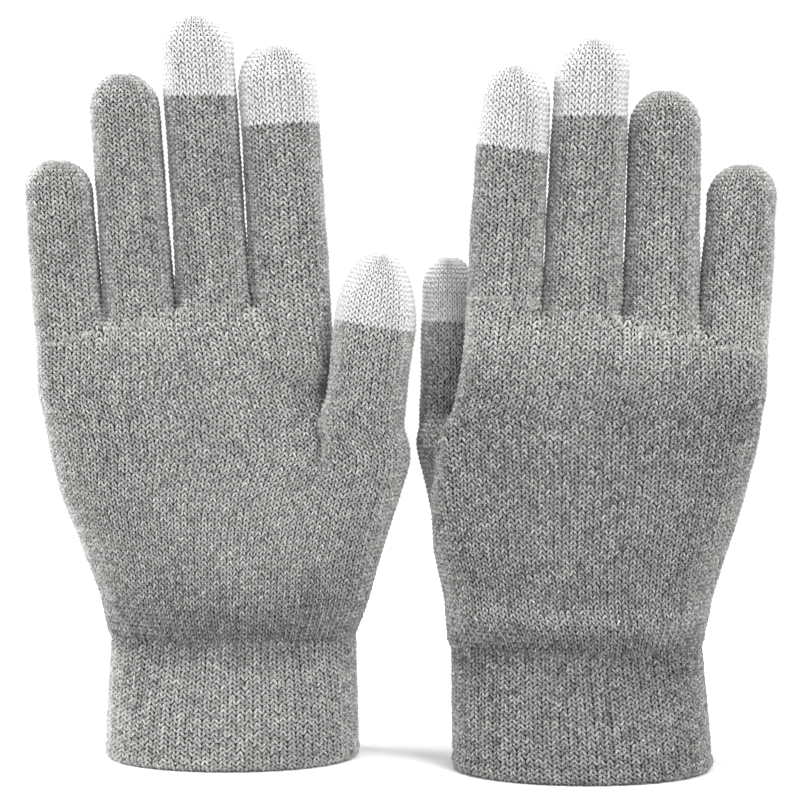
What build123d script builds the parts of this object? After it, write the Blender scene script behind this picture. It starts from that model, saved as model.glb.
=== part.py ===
"""A pair of knitted touchscreen gloves, standing upright on their cuffs, side by side.

Frame: +Z up, +X from the left glove to the right one, +Y away from the viewer. The origin is at the
bottom centre of the pair. The left glove shows its palm towards -Y, the right one its back.

Each glove is a hollow knitted shell: a ribbed cuff with a turned edge and elastic threads laid in it,
a hand tube, four fingers and a thumb. Thumb, index and middle finger end in tips of conductive yarn.
The fabric folds at the wrist, at the root of each finger and halfway up it, so each tube is split there.
A fold has a thin gap on the back of the hand and an open wedge on the palm side, where the knit bunches.
"""

import os
from dataclasses import dataclass
from math import copysign, cos, pi, radians, sin, tan

from build123d import *

os.makedirs("parts", exist_ok=True)

# Fabric, millimetres
WALL = 1.8  # thickness of the knit
CUFF_WALL = 2.2
FOLD_GAP = 0.3  # between two pieces that fold against each other
FOLD_MARGIN = 1.5  # degrees of wedge beyond the fold's limit, each side
FOLD_AXIS = 0.3  # place of a fold's axis, as a share of the tube's radius towards the palm

# Folds, degrees: each finger curls at its root, and its middle follows at its own limit
KNUCKLE_LIMIT = 65.0
MIDDLE_LIMIT = 78.0
THUMB_ROOT_LIMIT = 35.0
THUMB_MIDDLE_LIMIT = 45.0
WRIST_LIMIT = 30.0

# Cuff, the same on both gloves
WRIST_Z = 35.5
CUFF_HALF_WIDTH = (36.6, 35.9)  # at the edge and at the wrist
CUFF_HALF_DEPTH = (22.6, 22.0)
EDGE_HEIGHT = 5.0
EDGE_SWELL = 0.7  # how far the turned edge stands proud of the cuff
EDGE_ROUND = 1.6
ELASTIC_RADIUS = 0.35
ELASTIC_FIRST_Z = 9.0
ELASTIC_PITCH = 3.6
ELASTIC_COUNT = 7

PAIR_SHIFT_X = 1.218  # brings the middle of the pair to the origin
ROOT_DEPTH = 14.0  # how far a finger's form runs down into the hand
FAR = 400.0  # larger than any piece
SECTION_POINTS = 20


@dataclass
class Finger:
    """One tube of a glove: its axis from root to tip, its radii, and the heights of its folds."""

    name: str
    root: tuple
    tip: tuple
    root_radius: float
    tip_radius: float
    root_fold_z: float
    middle_fold_z: float
    conductive_z: float = None  # where the conductive yarn starts, if the finger has any
    root_limit: float = KNUCKLE_LIMIT
    middle_limit: float = MIDDLE_LIMIT
    root_depth: float = ROOT_DEPTH


@dataclass
class Glove:
    """One glove: its side in the pair, the way its palm faces, its hand sections, and its fingers."""

    side: str
    palm: int  # -1 faces the viewer, +1 faces away
    y: float
    cuff_x: float
    sections: list  # (z, lowest x, highest x, half depth, fullness), from the wrist up
    web_low: tuple  # (x, z) of the web at the little finger
    web_high: tuple  # (x, z) of the web at the index finger
    hand_top: float
    heel: Finger  # the thumb's muscle, shaped like a finger lying inside the palm
    fingers: list


def thumb(root, tip, root_radius, tip_radius, root_fold_z, middle_fold_z, conductive_z):
    """A thumb: a finger with smaller folds, and rooted deeper in the hand."""
    heights = (root_fold_z, middle_fold_z, conductive_z)
    limits = (THUMB_ROOT_LIMIT, THUMB_MIDDLE_LIMIT)
    return Finger("thumb", root, tip, root_radius, tip_radius, *heights, *limits, root_depth=22.0)


LEFT = Glove(
    side="left",
    palm=-1,
    y=8.0,
    cuff_x=-48.1,
    sections=[
        (WRIST_Z, -83.9, -12.1, 22.0, 2.0),
        (48.0, -85.8, -8.8, 21.5, 2.05),
        (62.0, -91.8, -6.8, 20.0, 2.1),
        (78.0, -97.9, -8.5, 18.0, 2.2),
        (93.0, -101.1, -16.4, 16.0, 2.3),
        (106.0, -103.4, -20.8, 14.4, 2.6),
        (120.0, -104.6, -21.2, 13.2, 3.0),
        (140.0, -104.9, -21.2, 12.0, 3.2),
    ],
    web_low=(-84.4, 123.8),
    web_high=(-43.1, 134.2),
    hand_top=134.4,
    heel=Finger("heel", (-19.5, -3.0, 50.0), (-6.9, -8.8, 100.6), 12.6, 12.3, 0, 0),
    fingers=[
        Finger("little", (-94.7, 0, 123.0), (-99.0, 0, 171.4), 9.9, 9.4, 129.0, 147.5),
        Finger("ring", (-74.6, 0, 130.0), (-80.0, 0, 195.7), 9.9, 9.7, 136.5, 160.5),
        Finger("middle", (-53.4, 0, 133.0), (-58.2, 0, 212.9), 10.1, 9.9, 139.5, 166.5, 189.4),
        Finger("index", (-31.3, 0, 133.0), (-35.4, 0, 204.6), 11.0, 10.7, 139.5, 164.5, 181.2),
        thumb((-9.4, -8.0, 102.0), (-6.0, -11.0, 144.6), 11.0, 10.3, 101.5, 118.5, 126.0),
    ],
)

RIGHT = Glove(
    side="right",
    palm=1,
    y=-8.0,
    cuff_x=49.8,
    sections=[
        (WRIST_Z, 14.0, 85.2, 22.0, 2.0),
        (48.0, 11.8, 87.0, 21.5, 2.05),
        (62.0, 8.8, 91.8, 20.0, 2.1),
        (78.0, 8.6, 97.0, 18.0, 2.2),
        (93.0, 12.0, 100.4, 16.0, 2.3),
        (106.0, 16.0, 102.2, 14.4, 2.6),
        (120.0, 18.2, 103.0, 13.2, 3.0),
        (140.0, 18.6, 103.5, 12.0, 3.2),
    ],
    web_low=(83.3, 121.6),
    web_high=(39.6, 131.2),
    hand_top=131.6,
    heel=Finger("heel", (21.6, 5.0, 50.0), (13.8, 14.2, 101.0), 11.0, 10.6, 0, 0),
    fingers=[
        Finger("little", (93.3, 0, 124.0), (96.6, 0, 169.4), 9.9, 9.2, 127.5, 145.5),
        Finger("ring", (72.9, 0, 130.0), (74.9, 0, 189.7), 10.3, 10.1, 134.0, 156.5),
        Finger("middle", (50.6, 0, 131.0), (53.7, 0, 205.3), 10.7, 10.0, 136.5, 162.5, 182.0),
        Finger("index", (28.9, 0, 131.0), (31.7, 0, 197.2), 10.2, 9.5, 136.5, 159.5, 174.8),
        thumb((14.2, 16.4, 103.0), (14.0, 18.8, 143.2), 8.9, 8.0, 103.0, 119.5, 126.0),
    ],
)


def finger_form(finger, inset=0.0):
    """The closed form of a finger, a slim cone under a dome, smaller by inset all round."""
    tip = Vector(*finger.tip)
    up = (tip - Vector(*finger.root)).normalized()
    start = Vector(*finger.root) - up * finger.root_depth
    side = Vector(0, 1, 0).cross(up).normalized()
    length = (tip - start).length - inset
    dome = finger.tip_radius - inset
    taper = (finger.root_radius - finger.tip_radius) / (tip - Vector(*finger.root)).length
    foot = finger.root_radius + taper * finger.root_depth - inset
    with BuildPart() as form:
        with BuildSketch(Plane(origin=start, x_dir=side, z_dir=side.cross(up))):
            with BuildLine():
                Polyline((0, length), (0, 0), (foot, 0), (dome, length - dome))
                CenterArc((0, length - dome), dome, 0, 90)
            make_face()
        revolve(axis=Axis(start, up))
    return form.part


def fold_wedge(x, y, z, radius, half_width, palm, limit):
    """The space that a fold needs: a thin gap behind its axis, and a wedge on the palm side."""
    reach = 2 * radius
    rise = reach * tan(radians(limit / 2 + FOLD_MARGIN))
    axis_y = y + palm * FOLD_AXIS * radius
    back_y = y - palm * (radius + 2 * FOLD_GAP)
    lip = FOLD_GAP / 2
    outline = [
        (back_y, lip),
        (axis_y, lip),
        (axis_y + palm * reach, lip + rise),
        (axis_y + palm * reach, -lip - rise),
        (axis_y, -lip),
        (back_y, -lip),
    ]
    with BuildPart() as wedge:
        with BuildSketch(Plane.YZ.offset(x - half_width)):
            with BuildLine():
                Polyline(*[(across, z + up) for across, up in outline], close=True)
            make_face()
        extrude(amount=2 * half_width)
    return wedge.part


def finger_at(finger, z):
    """The centre and radius of a finger's tube at a height."""
    root, tip = Vector(*finger.root), Vector(*finger.tip)
    share = (z - root.Z) / (tip.Z - root.Z)
    centre = root + (tip - root) * share
    return centre, finger.root_radius + (finger.tip_radius - finger.root_radius) * share


def finger_fold(glove, finger, z, limit):
    """The wedge at one fold of a finger."""
    centre, radius = finger_at(finger, z)
    return fold_wedge(centre.X, centre.Y, z, radius, radius + FOLD_GAP, glove.palm, limit)


def export(glove, part, name):
    """Moves a finished piece to its glove's place, labels it and writes it."""
    placed = Pos(PAIR_SHIFT_X, glove.y, 0) * part
    placed.label = f"{glove.side}_{name}"
    export_step(placed, f"parts/{placed.label}.step")


def slice_between(part, low, high):
    """The share of a part between two heights."""
    with BuildPart() as piece:
        add(part)
        split(bisect_by=Plane.XY.offset(low), keep=Keep.TOP)
        split(bisect_by=Plane.XY.offset(high), keep=Keep.BOTTOM)
    return piece.part


def finger_pieces(glove, finger):
    """The lower and upper tube of a finger above its root fold, and its conductive tip."""
    root_fold = finger_fold(glove, finger, finger.root_fold_z, finger.root_limit)
    middle_fold = finger_fold(glove, finger, finger.middle_fold_z, finger.middle_limit)
    with BuildPart() as shell:
        add(finger_form(finger))
        add(finger_form(finger, WALL), mode=Mode.SUBTRACT)
        split(bisect_by=Plane.XY.offset(finger.root_fold_z), keep=Keep.TOP)
        add(root_fold, mode=Mode.SUBTRACT)
        add(middle_fold, mode=Mode.SUBTRACT)
    lower, upper = shell.part.solids().sort_by(Axis.Z)
    pieces = {"lower": lower}
    if finger.conductive_z is None:
        pieces["upper"] = upper
    else:
        pieces["upper"] = slice_between(upper, 0, finger.conductive_z)
        pieces["tip"] = slice_between(upper, finger.conductive_z, FAR * 2)
    return pieces


def hand_section(low, high, half_depth, fullness):
    """A closed curve around the hand, an ellipse that fills its corners as fullness grows past 2."""
    centre, half_width = (low + high) / 2, (high - low) / 2
    points = []
    for step in range(SECTION_POINTS):
        turn = 2 * pi * step / SECTION_POINTS
        across, deep = cos(turn), sin(turn)
        x = centre + half_width * copysign(abs(across) ** (2 / fullness), across)
        points.append((x, half_depth * copysign(abs(deep) ** (2 / fullness), deep)))
    return Spline(*points, periodic=True)


def hand_form(glove, inset=0.0):
    """The closed form of the hand, from the wrist to the webs between the fingers."""
    slope = (glove.web_high[1] - glove.web_low[1]) / (glove.web_high[0] - glove.web_low[0])
    web = Plane(
        origin=(glove.web_low[0], 0, glove.web_low[1] - inset), x_dir=(1, 0, slope), z_dir=(-slope, 0, 1)
    )
    with BuildPart() as form:
        for z, low, high, half_depth, fullness in glove.sections:
            with BuildSketch(Plane.XY.offset(z)):
                with BuildLine():
                    hand_section(low + inset, high - inset, half_depth - inset, fullness)
                make_face()
        loft()
        split(bisect_by=web, keep=Keep.BOTTOM)
        split(bisect_by=Plane.XY.offset(glove.hand_top - inset), keep=Keep.BOTTOM)
        add(slice_between(finger_form(glove.heel, inset), WRIST_Z, glove.hand_top))
    return form.part


def wrist_wedge(glove):
    """The wedge at the wrist's fold, over the whole width of the glove."""
    half_width = 2 * CUFF_HALF_WIDTH[0]
    return fold_wedge(glove.cuff_x, 0, WRIST_Z, CUFF_HALF_DEPTH[1], half_width, glove.palm, WRIST_LIMIT)


def hand_shell(glove):
    """The hand tube with a stub for each finger, hollow from the wrist up into the stubs."""
    with BuildPart() as hand:
        add(hand_form(glove))
        for finger in glove.fingers:
            add(slice_between(finger_form(finger), WRIST_Z, finger.root_fold_z))
        add(hand_form(glove, WALL), mode=Mode.SUBTRACT)
        for finger in glove.fingers:
            add(finger_form(finger, WALL), mode=Mode.SUBTRACT)
            add(finger_fold(glove, finger, finger.root_fold_z, finger.root_limit), mode=Mode.SUBTRACT)
        add(wrist_wedge(glove), mode=Mode.SUBTRACT)
    return hand.part


def cuff_half_sizes(z):
    """The half width and half depth of the cuff's outside at a height."""
    share = z / WRIST_Z
    width = CUFF_HALF_WIDTH[0] + (CUFF_HALF_WIDTH[1] - CUFF_HALF_WIDTH[0]) * share
    return width, CUFF_HALF_DEPTH[0] + (CUFF_HALF_DEPTH[1] - CUFF_HALF_DEPTH[0]) * share


def cuff_form(glove, inset, low, high):
    """The closed form of the cuff between two heights."""
    with BuildPart() as form:
        for z in (low, high):
            half_width, half_depth = cuff_half_sizes(z)
            with BuildSketch(Plane.XY.offset(z)):
                with Locations((glove.cuff_x, 0)):
                    Ellipse(half_width - inset, half_depth - inset)
        loft(ruled=True)
    return form.part


def elastic_threads(glove):
    """The elastic threads, rings laid half into the inside of the cuff."""
    with BuildPart() as threads:
        for count in range(ELASTIC_COUNT):
            z = ELASTIC_FIRST_Z + count * ELASTIC_PITCH
            half_width, half_depth = cuff_half_sizes(z)
            sizes = (half_width - CUFF_WALL, half_depth - CUFF_WALL)
            with BuildLine(Plane(origin=(glove.cuff_x, 0, z))) as path:
                EllipticalCenterArc((0, 0), *sizes, start_angle=0, arc_size=180)
                EllipticalCenterArc((0, 0), *sizes, start_angle=180, arc_size=180)
            with BuildSketch(Plane(path.line ^ 0)):
                Circle(ELASTIC_RADIUS)
            sweep(path=path.line)
    return threads.part


def cuff_pieces(glove):
    """The cuff, the turned edge it stands on, and its elastic threads."""
    threads = elastic_threads(glove)
    with BuildPart() as cuff:
        add(cuff_form(glove, 0, EDGE_HEIGHT, WRIST_Z))
        add(cuff_form(glove, CUFF_WALL, EDGE_HEIGHT, WRIST_Z), mode=Mode.SUBTRACT)
        add(wrist_wedge(glove), mode=Mode.SUBTRACT)
        add(threads, mode=Mode.SUBTRACT)
    with BuildPart() as edge:
        add(cuff_form(glove, -EDGE_SWELL, 0, EDGE_HEIGHT))
        fillet(edge.faces().sort_by(Axis.Z)[0].edges(), EDGE_ROUND)
        add(cuff_form(glove, CUFF_WALL, 0, EDGE_HEIGHT), mode=Mode.SUBTRACT)
    return {"cuff": cuff.part, "cuff_edge": edge.part, "cuff_elastic": threads}


def build(glove):
    """Writes every piece of one glove."""
    for finger in glove.fingers:
        for place, piece in finger_pieces(glove, finger).items():
            export(glove, piece, f"{finger.name}_{place}")
    export(glove, hand_shell(glove), "hand")
    for place, piece in cuff_pieces(glove).items():
        export(glove, piece, place)


for glove in (LEFT, RIGHT):
    build(glove)
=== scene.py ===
"""Looks of a pair of knitted touchscreen gloves, standing on their ribbed cuffs.

The fabric is built the way a glove is knitted: every tube of the glove is a grid of wales (columns) by
courses (rows), and every stitch is two yarn legs stamped on it. Fingers and thumb are knitted from the
tip down, so the stitches point up. Lengths are in metres.
"""

import logging
import math
from collections.abc import Callable, Mapping, Sequence
from dataclasses import dataclass, replace
from enum import Enum
import bpy
import numpy as np
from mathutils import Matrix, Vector
from mathutils.bvhtree import BVHTree


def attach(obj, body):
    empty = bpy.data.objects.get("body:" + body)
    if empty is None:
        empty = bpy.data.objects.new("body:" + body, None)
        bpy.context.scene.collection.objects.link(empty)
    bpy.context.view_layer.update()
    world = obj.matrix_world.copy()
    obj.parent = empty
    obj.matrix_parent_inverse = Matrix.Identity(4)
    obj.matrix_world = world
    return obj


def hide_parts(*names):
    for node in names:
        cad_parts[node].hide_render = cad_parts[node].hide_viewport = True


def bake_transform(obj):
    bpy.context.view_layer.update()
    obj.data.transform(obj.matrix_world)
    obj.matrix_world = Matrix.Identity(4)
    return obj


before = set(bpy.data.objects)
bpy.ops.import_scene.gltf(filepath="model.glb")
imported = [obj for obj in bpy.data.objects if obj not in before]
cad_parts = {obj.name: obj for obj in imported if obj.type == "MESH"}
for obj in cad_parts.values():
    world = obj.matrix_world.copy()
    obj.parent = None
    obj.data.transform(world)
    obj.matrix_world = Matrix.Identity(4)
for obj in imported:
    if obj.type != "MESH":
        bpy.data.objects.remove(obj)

log = logging.getLogger("gloves")
MM = 0.001
SHIFT_X = 1.218 * MM  # the pair's middle is at the origin
WRIST_Z = 35.5 * MM
COURSE = 1.36 * MM  # height of a stitch
SEED = 11
WORN_SEEDS = {"left": 3, "right": 5}  # the uneven waves of each glove
RAYS, FAN = 44, 14  # rays along a straight side of a hand loop, and round a quarter of its end
LINING = (0.60 * MM, 1.2 * MM)  # depth of the backing's two faces behind the knit
TOP_TURN = 88.5  # degrees up a rounded tip where its last course ends
WRIST_TOP_Z = 54 * MM  # where the wrist's knit ends and the hand's begins
BEND = 8.5  # half length of a digit's bend, in millimetres
UNDERLAP = 3  # courses that a digit's grid starts below the hand's edge
PALE_GAUGE = (30, 1.52)  # wales of a pale fingertip, and height of its courses in millimetres
PALE_THUMB_GAUGE = (34, 1.36)


class Yarn(Enum):
    """Which yarn a piece is knitted from."""

    GREY = "grey_knit"
    CONDUCTIVE = "conductive_knit"
    ELASTIC = "elastic_thread"


@dataclass(frozen=True)
class Digit:
    """A finger or thumb: its axis and radii, folds, and the height where the conductive yarn starts."""

    name: str
    root: tuple[float, float, float]
    tip: tuple[float, float, float]
    root_radius: float
    tip_radius: float
    root_fold: float
    middle_fold: float
    conductive: float | None = None
    wales: int = 24
    joined: int = 12  # wales of its front, and of its back, that run on into the hand
    slant: float = 0.0  # how far the courses near the tip drop towards +X
    dome: float = 1.0  # height of the rounded tip over its radius


@dataclass(frozen=True)
class Plan:
    """The measures of one glove, in millimetres, before it is moved to its place."""

    side: str
    palm: int
    y: float
    cuff_x: float
    sections: tuple[tuple[float, ...], ...]  # (z, low x, high x, half depth)
    crown: tuple[float, ...]  # the section that closes the hand's top, drawn in towards the middle finger
    web_low: tuple[float, float]
    web_high: tuple[float, float]
    web_cap: float
    junction_z: float  # where the thumb parts from the hand
    heel: Digit
    digits: tuple[Digit, ...]
    wrist_fold: tuple[float, float, float]  # depth of the fold, height of the swell above it, where that is
    cuff_drift: float  # how far the cuff's edge stands to the side
    painted_hand_shade: float  # painted shade: how much darker its hand and cuff are
    shaded: float = 0.0  # painted shade: how much darker the yarn round its wrist fold is


@dataclass(frozen=True)
class CuffSizes:
    """The sizes that both cuffs share."""

    pairs: int = 38  # pairs of wales round it
    groove: float = 0.42 * MM  # depth between two pairs
    course: float = 1.32 * MM
    half_width: float = 36.6 * MM
    half_depth: float = 22.6 * MM
    bottom: float = -3.2 * MM  # where its knit starts, measured along the fabric
    top: float = WRIST_Z + 0.8 * MM
    roll: float = 2.4 * MM  # radius of the turned edge
    taper: float = 1.2 * MM  # how far it draws in up to the wrist
    band: float = 0.25 * MM  # how far the turned edge stands out
    thread_count: int = 7
    thread_start: float = 9.0  # height of the lowest thread, in millimetres
    thread_gap: float = 3.6
    thread_half_width: float = 33.6
    thread_half_depth: float = 19.6


CUFF = CuffSizes()

LEFT = Plan(
    side="left",
    palm=-1,
    y=8.0,
    cuff_x=-48.1,
    sections=(
        (28.0, -83.6, -12.6, 21.8),
        (35.5, -84.4, -12.6, 22.0),
        (48.0, -86.2, -9.6, 21.5),
        (62.0, -91.8, -6.8, 20.0),
        (78.0, -97.9, -8.5, 18.0),
        (93.0, -101.1, -16.4, 16.0),
        (106.0, -103.4, -20.8, 14.4),
        (120.0, -104.6, -21.2, 13.0),
        (129.0, -104.9, -21.2, 10.5),
    ),
    crown=(129.0, -80.0, -21.2, 10.0),
    web_low=(-84.4, 123.8),
    web_high=(-43.1, 134.2),
    web_cap=136.0,
    junction_z=99.0,
    heel=Digit("heel", (-20.9, -3.0, 50.0), (-6.4, -8.8, 100.6), 11.8, 12.5, 0, 0),
    digits=(
        Digit("little", (-94.7, 0, 123.0), (-98.0, 0, 171.9), 9.9, 9.2, 129.0, 147.5, None, 26, 11),
        Digit("ring", (-74.6, 0, 130.0), (-78.9, 0, 196.3), 9.9, 9.4, 136.5, 160.5, None, 26, 10),
        Digit("middle", (-53.4, 0, 133.0), (-58.2, 0, 212.9), 10.1, 9.9, 139.5, 166.5, 190.2, 26, 10),
        Digit("index", (-31.3, 0, 133.0), (-35.4, 0, 204.6), 11.0, 10.7, 139.5, 164.5, 181.5, 26, 11, -0.05),
        Digit(
            "thumb", (-9.9, -8, 102), (-4.7, -11, 145.6), 11.2, 10.9, 101.5, 118.5, 125.8, 34, 14, 0.17, 1.9
        ),
    ),
    wrist_fold=(3.6, 2.2, 13.0),
    cuff_drift=-0.6,
    painted_hand_shade=0.0,
    shaded=2.0,
)

RIGHT = Plan(
    side="right",
    palm=1,
    y=-8.0,
    cuff_x=49.8,
    sections=(
        (28.0, 13.6, 84.8, 21.8),
        (35.5, 13.6, 85.9, 22.0),
        (48.0, 12.9, 87.2, 21.5),
        (62.0, 9.6, 91.8, 20.0),
        (78.0, 8.6, 97.0, 18.0),
        (93.0, 12.0, 100.4, 16.0),
        (106.0, 16.0, 102.2, 14.4),
        (118.0, 18.2, 103.0, 13.0),
        (127.0, 18.8, 103.4, 10.5),
    ),
    crown=(127.0, 18.8, 79.0, 10.0),
    web_low=(83.3, 121.6),
    web_high=(39.6, 131.2),
    web_cap=133.5,
    junction_z=100.0,
    heel=Digit("heel", (24.2, 5.0, 52.0), (13.8, 14.2, 101.0), 10.2, 10.6, 0, 0),
    digits=(
        Digit("little", (93.3, 0, 124.0), (95.6, 0, 170.2), 9.9, 9.2, 127.5, 145.5, None, 26, 11),
        Digit("ring", (72.9, 0, 130.0), (73.8, 0, 190.5), 10.3, 9.6, 134.0, 156.5, None, 26, 10),
        Digit("middle", (50.6, 0, 131.0), (53.7, 0, 205.3), 10.7, 10.0, 136.5, 162.5, 183.4, 26, 10),
        Digit("index", (28.9, 0, 131.0), (32.5, 0, 197.6), 10.2, 9.4, 136.5, 159.5, 175.0, 26, 11, 0.15),
        Digit(
            "thumb", (14.4, 16.4, 103), (14.1, 18.8, 144.4), 8.5, 7.3, 103.0, 119.5, 126.0, 28, 9, 0.0, 1.3
        ),
    ),
    wrist_fold=(3.0, 2.4, 9.0),
    cuff_drift=2.0,
    painted_hand_shade=1.6,
)


def smooth(t: np.ndarray | float) -> np.ndarray | float:
    """Eases a share.

    Args:
        t: The share, which is clipped to 0..1.

    Returns:
        Its smoothstep.
    """
    t = np.clip(t, 0, 1)
    return t * t * (3 - 2 * t)


def select_only(obj: bpy.types.Object) -> None:
    """Makes an object the one selected and active object.

    Args:
        obj: The object.
    """
    bpy.ops.object.select_all(action="DESELECT")
    obj.select_set(True)
    bpy.context.view_layer.objects.active = obj


class Form:
    """The smooth body a glove is stretched over, joined from simple solids. Rays find its surface."""

    def __init__(self, plan: Plan, with_thumb: bool) -> None:
        """Models the body.

        Args:
            plan: The glove's measures.
            with_thumb: Whether the thumb and its heel are part of the body.
        """
        parts = [self.hand(plan)]
        for digit in plan.digits:
            if digit.name == "thumb":
                if with_thumb:
                    parts += self.capsule(digit, 8.0)
            else:
                parts += self.capsule(digit, 18.0)
        if with_thumb:
            parts += self.capsule(plan.heel, 6.0)
        select_only(parts[0])
        for part in parts[1:]:
            part.select_set(True)
        bpy.ops.object.join()
        self.obj = bpy.context.view_layer.objects.active
        remesh = self.obj.modifiers.new("Remesh", "REMESH")
        remesh.mode = "VOXEL"
        remesh.voxel_size = 1.1 * MM
        bpy.ops.object.modifier_apply(modifier=remesh.name)
        ease = self.obj.modifiers.new("Smooth", "SMOOTH")
        ease.factor = 0.5
        ease.iterations = 9
        bpy.ops.object.modifier_apply(modifier=ease.name)
        bpy.context.view_layer.update()
        self.tree = BVHTree.FromObject(self.obj, bpy.context.evaluated_depsgraph_get())

    @staticmethod
    def hand(plan: Plan) -> bpy.types.Object:
        """Lofts the hand's sections by extruding and resizing a ring.

        Args:
            plan: The glove's measures.

        Returns:
            The closed loft.
        """
        z, low, high, deep = plan.sections[0]
        bpy.ops.object.select_all(action="DESELECT")
        bpy.ops.mesh.primitive_circle_add(
            vertices=48, radius=1.0, fill_type="NGON", location=((low + high) / 2 * MM, 0, z * MM)
        )
        obj = bpy.context.active_object
        obj.scale = ((high - low) / 2 * MM, deep * MM, 1)
        bpy.ops.object.transform_apply(location=True, rotation=False, scale=True)
        bpy.ops.object.mode_set(mode="EDIT")
        bpy.ops.mesh.select_all(action="SELECT")
        for z2, low2, high2, deep2 in (*plan.sections[1:-1], plan.crown):
            move = ((low2 + high2 - low - high) / 2 * MM, 0, (z2 - z) * MM)
            bpy.ops.mesh.extrude_region_move(TRANSFORM_OT_translate={"value": move})
            grow = ((high2 - low2) / (high - low), deep2 / deep, 1)
            bpy.ops.transform.resize(value=grow, center_override=((low2 + high2) / 2 * MM, 0, z2 * MM))
            z, low, high, deep = z2, low2, high2, deep2
        bpy.ops.mesh.select_all(action="SELECT")
        bpy.ops.mesh.normals_make_consistent(inside=False)
        bpy.ops.object.mode_set(mode="OBJECT")
        return obj

    @staticmethod
    def capsule(digit: Digit, depth: float) -> list[bpy.types.Object]:
        """Models a cone with a ball at each end, along a digit's axis.

        Args:
            digit: The finger, thumb or heel.
            depth: How far it runs below the digit's root, in millimetres.

        Returns:
            The three solids.
        """
        root, tip = Vector(digit.root), Vector(digit.tip)
        up = (tip - root).normalized()
        low, high = root - up * depth, tip - up * digit.tip_radius
        middle = (low + high) / 2 * MM
        turn = up.to_track_quat("Z", "Y").to_euler()
        bpy.ops.mesh.primitive_cone_add(
            vertices=40,
            radius1=digit.root_radius * MM,
            radius2=digit.tip_radius * MM,
            depth=(high - low).length * MM,
            location=middle,
            rotation=turn,
        )
        made = [bpy.context.active_object]
        for place, radius in ((low, digit.root_radius), (high, digit.tip_radius)):
            bpy.ops.mesh.primitive_uv_sphere_add(
                segments=40, ring_count=20, radius=radius * MM, location=place * MM
            )
            made.append(bpy.context.active_object)
        return made

    def hit(self, origin: Sequence[float], direction: Sequence[float]) -> Vector | None:
        """Finds the surface from a point inside.

        Args:
            origin: The inner point.
            direction: Which way to look.

        Returns:
            The surface point, or None where there is none.
        """
        place, _, _, _ = self.tree.ray_cast(Vector(origin), Vector(direction))
        return place

    def remove(self) -> None:
        """Deletes the body's object."""
        bpy.data.objects.remove(self.obj)


class Tube:
    """A grid of knitting: nodes[v, u] is where course v meets wale boundary u, closed round in u."""

    def __init__(self, nodes: np.ndarray | list[np.ndarray]) -> None:
        """Takes the grid and works out its normals.

        Args:
            nodes: Positions as [course, wale, xyz].
        """
        self.nodes = np.asarray(nodes, float)
        self.courses, self.wales = self.nodes.shape[0] - 1, self.nodes.shape[1]
        self.normals = self.face_normals()

    def face_normals(self) -> np.ndarray:
        """Works out which way the fabric faces.

        Returns:
            The unit outward normals at the nodes.
        """
        du = np.roll(self.nodes, -1, axis=1) - np.roll(self.nodes, 1, axis=1)
        dv = np.gradient(self.nodes, axis=0)
        n = np.cross(du, dv)
        n /= np.maximum(np.linalg.norm(n, axis=2, keepdims=True), 1e-12)
        return n

    def at(self, u: np.ndarray, v: np.ndarray) -> tuple[np.ndarray, np.ndarray]:
        """Looks up the fabric between its nodes.

        Args:
            u: Wales, with fractions.
            v: Courses, with fractions.

        Returns:
            Positions and unit normals there.
        """
        v = np.clip(v, -0.45, self.courses + 0.45)
        v0 = np.clip(np.floor(v).astype(int), 0, self.courses - 1)
        fv = (v - v0)[..., None]
        u0 = np.floor(u).astype(int)
        fu = (u - u0)[..., None]
        a, b = u0 % self.wales, (u0 + 1) % self.wales

        def mix(grid: np.ndarray) -> np.ndarray:
            """Blends the four nodes round each place.

            Args:
                grid: Values at the nodes.

            Returns:
                Values at the places.
            """
            low = grid[v0, a] * (1 - fu) + grid[v0, b] * fu
            high = grid[v0 + 1, a] * (1 - fu) + grid[v0 + 1, b] * fu
            return low * (1 - fv) + high * fv

        normal = mix(self.normals)
        normal /= np.maximum(np.linalg.norm(normal, axis=-1, keepdims=True), 1e-12)
        return mix(self.nodes), normal

    def centres(self) -> np.ndarray:
        """Finds the centre of each stitch cell, as [course, wale, xyz]."""
        v, u = np.meshgrid(np.arange(self.courses) + 0.5, np.arange(self.wales) + 0.5, indexing="ij")
        return self.at(u, v)[0]


@dataclass(frozen=True)
class LoopSpec:
    """How a palm tube is cut into levels: the ends of its inner line and its heights, by level."""

    form: Form
    left_end: Callable[[float], tuple[float, float]]
    right_end: Callable[[float], tuple[float, float]]
    bottom: float
    top: float
    courses: int


def ring_rays(left: tuple[float, float], right: tuple[float, float]) -> tuple[list, list, int]:
    """Lays out rays round an inner line: from -X over the front (-Y) to +X, then over the back.

    Args:
        left: The line's end at -X, as (x, y).
        right: The line's end at +X.

    Returns:
        The rays' origins, None where they start along the line, their directions, and the number of the
        ray that points to +X.
    """
    origins, directions = [], []
    for i in range(FAN):
        turn = math.pi + i / FAN * math.pi / 2
        origins.append(left)
        directions.append((math.cos(turn), math.sin(turn)))
    for i in range(RAYS):
        t = i / (RAYS - 1)
        origins.append(None if 0 < t < 1 else (left if t == 0 else right))
        directions.append((0, -1))
    for i in range(1, 2 * FAN):
        turn = -math.pi / 2 + i / (2 * FAN) * math.pi
        origins.append(right)
        directions.append((math.cos(turn), math.sin(turn)))
    for i in range(RAYS):
        t = 1 - i / (RAYS - 1)
        origins.append(None if 0 < t < 1 else (left if t == 0 else right))
        directions.append((0, 1))
    for i in range(1, FAN):
        turn = math.pi / 2 + i / FAN * math.pi / 2
        origins.append(left)
        directions.append((math.cos(turn), math.sin(turn)))
    return origins, directions, FAN + RAYS + FAN - 1


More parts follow.
